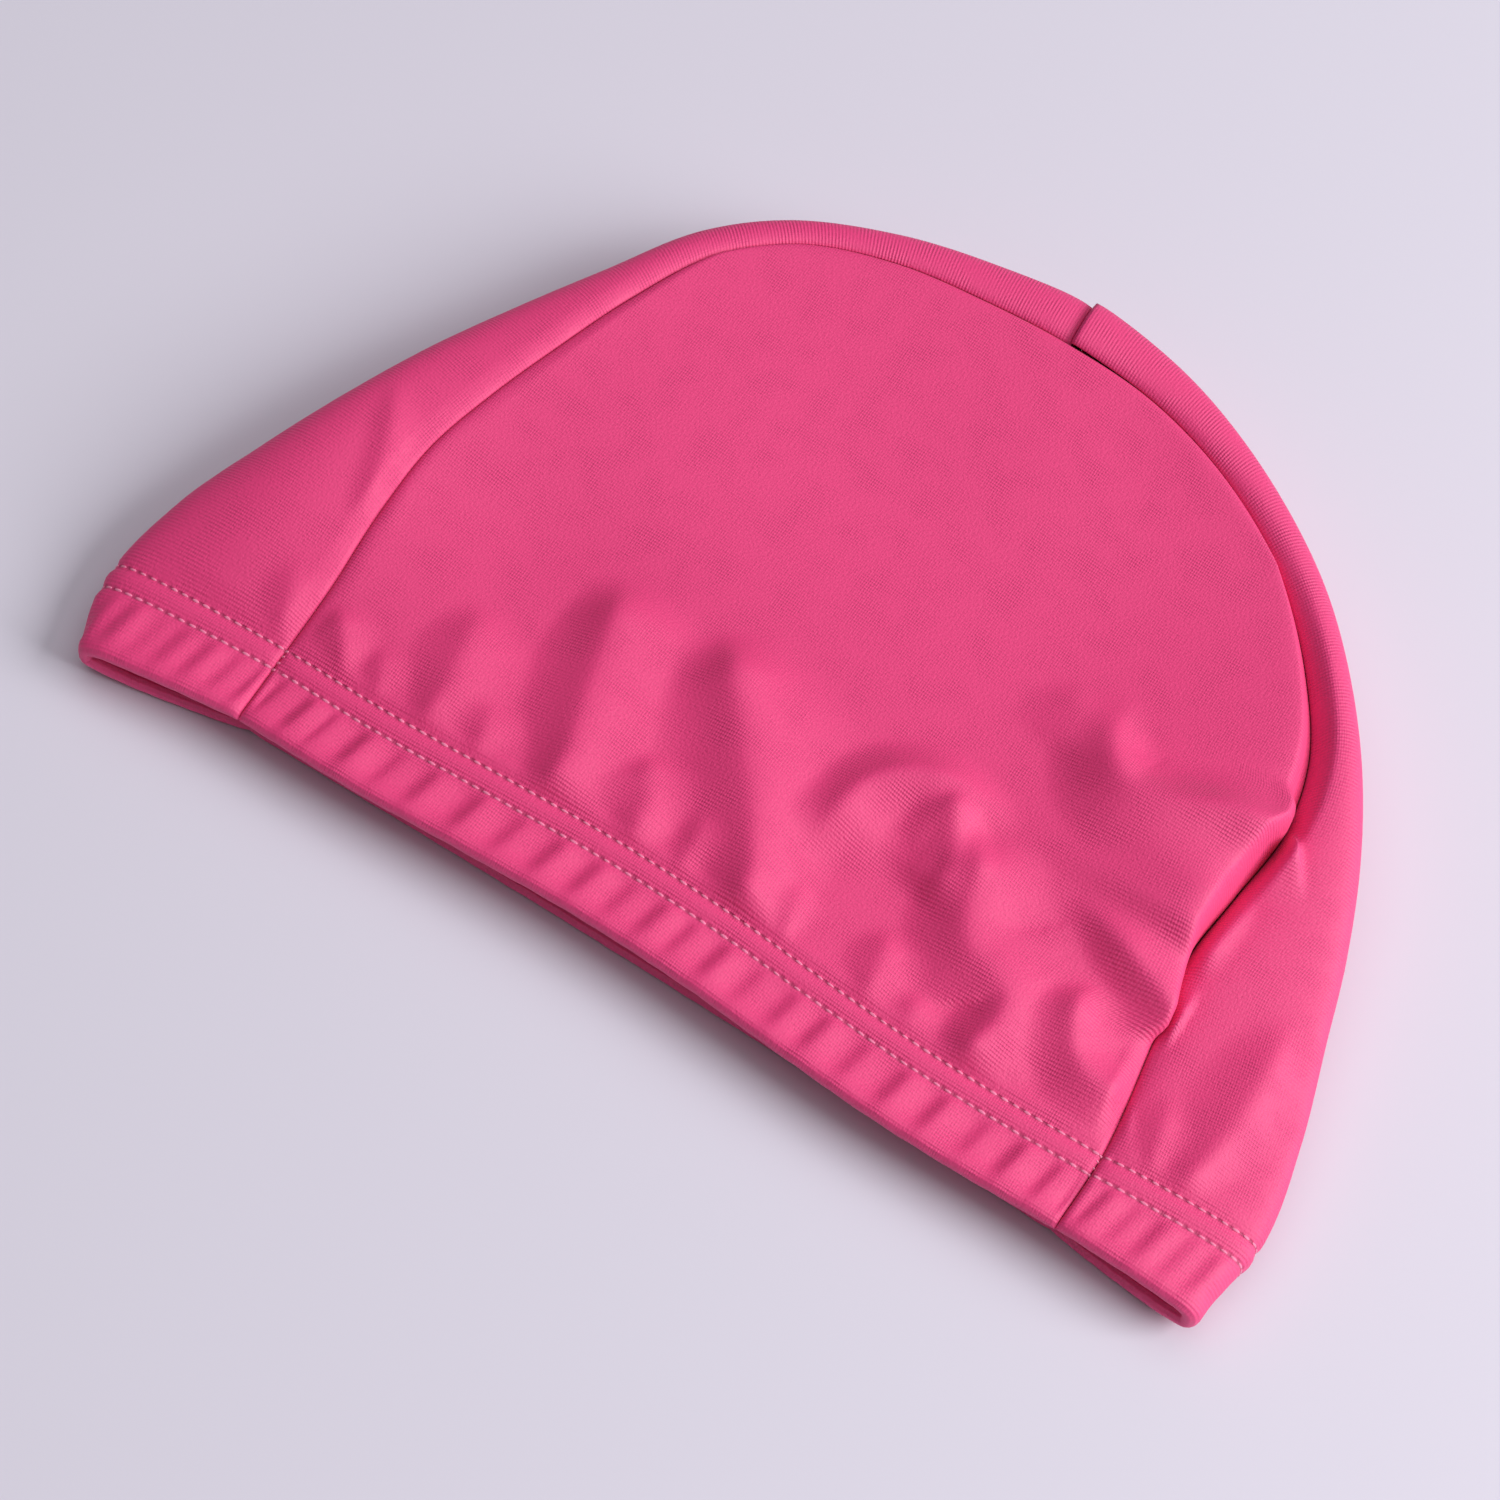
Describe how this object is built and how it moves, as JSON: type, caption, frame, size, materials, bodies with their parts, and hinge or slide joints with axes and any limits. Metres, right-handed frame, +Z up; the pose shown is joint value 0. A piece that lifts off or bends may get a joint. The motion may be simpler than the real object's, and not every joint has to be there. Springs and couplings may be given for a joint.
{
  "type": "fabric swim cap",
  "caption": "Soft pink fabric swim cap lying flat on its side, with side panels, a centre band and an elasticated stitched hem, hollow and open at the hem.",
  "frame": {"origin": "middle of the cap's box in plan, on the surface that it lies on", "axes": "+X along the hem towards the back half of the band, +Y from the hem to the crown, +Z up"},
  "size_m": [0.2328, 0.1646, 0.0227],
  "materials": {
    "side_panel_upper": "matte fine warp knit with a soft sheen",
    "side_panel_lower": "matte fine warp knit with a soft sheen",
    "band_front": "matte fine warp knit with a soft sheen",
    "band_back": "matte fine warp knit with a soft sheen"
  },
  "bodies": {
    "root": {"side_panel_upper": "side_panel_upper", "side_panel_lower": "side_panel_lower", "band_front": "band_front", "band_back": "band_back"}
  },
  "joints": []
}
